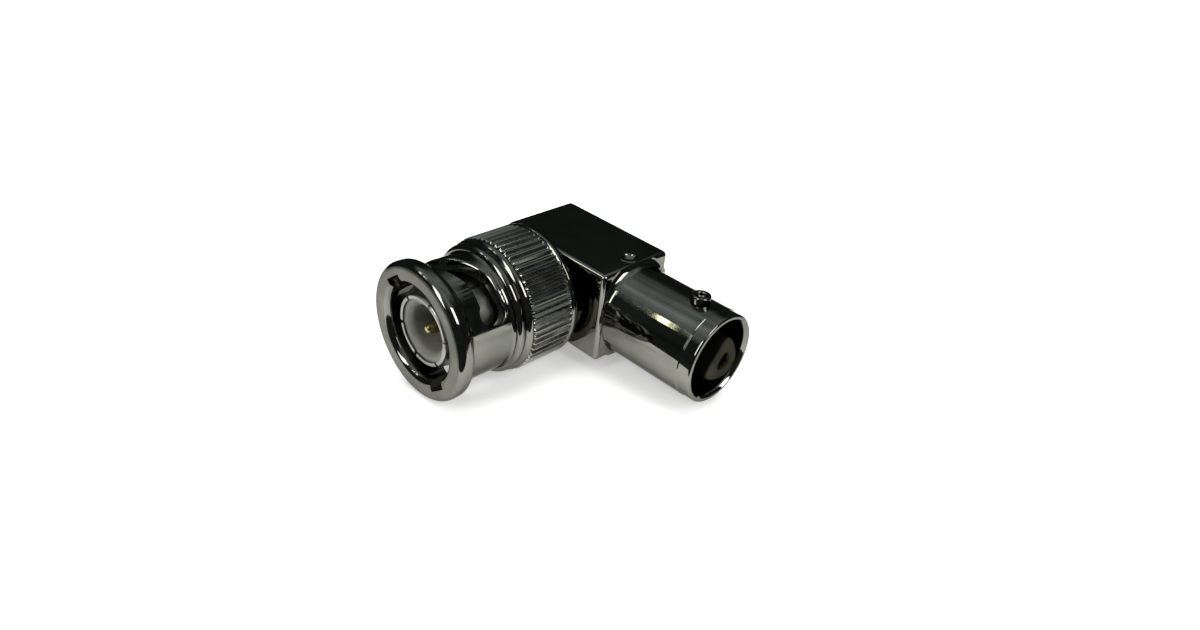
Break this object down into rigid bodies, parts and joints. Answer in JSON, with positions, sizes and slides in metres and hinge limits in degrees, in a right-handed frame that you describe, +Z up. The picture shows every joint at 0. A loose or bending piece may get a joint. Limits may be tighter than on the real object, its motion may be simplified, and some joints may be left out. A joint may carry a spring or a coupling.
{
  "type": "right-angle coaxial adapter",
  "caption": "Right-angle coax adapter: a square elbow joins a plug with a turning bayonet coupling nut to a jack barrel with bayonet lugs.",
  "frame": {"origin": "on the table, under the middle of the part's box as it rests on its coupling nut and lower lug", "axes": "-Y is the way the plug faces, along the coupling nut's axis; +X is the jack's side, whose mouth dips by the rest tilt; +Z is up"},
  "size_m": [0.0284, 0.0256, 0.0143],
  "materials": {
    "nickel_body": "polished",
    "nickel_nut": "polished",
    "nickel_sleeve": "satin",
    "white_insulator": "satin",
    "gold_contact": "polished",
    "black_rubber": "matte",
    "spring_steel": "satin"
  },
  "bodies": {
    "adapter": {"elbow_body": "nickel_body", "bayonet_lug_upper": "nickel_body", "bayonet_lug_lower": "nickel_body", "jack_insulator": "white_insulator", "jack_socket": "gold_contact", "plug_sleeve": "nickel_sleeve", "plug_insulator": "white_insulator", "plug_pin": "gold_contact", "gasket": "black_rubber", "wave_washer": "spring_steel"},
    "slide_washer": {"thrust_washer": "spring_steel"},
    "nut": {"coupling_nut": "nickel_nut", "retaining_ring": "spring_steel"}
  },
  "joints": [
    {"name": "nut_slide", "type": "slide", "parent": "adapter", "child": "slide_washer", "axis": [0, -1, 0], "range_m": [0, 0.0006], "stiffness_N_per_m": 200, "springref_m": -0.001, "deforming": ["wave_washer"]},
    {"name": "nut_turn", "type": "hinge", "parent": "slide_washer", "child": "nut", "pos_m": [-0.00707, -0.0052, 0.00715], "axis": [0, -1, 0], "continuous": true}
  ]
}
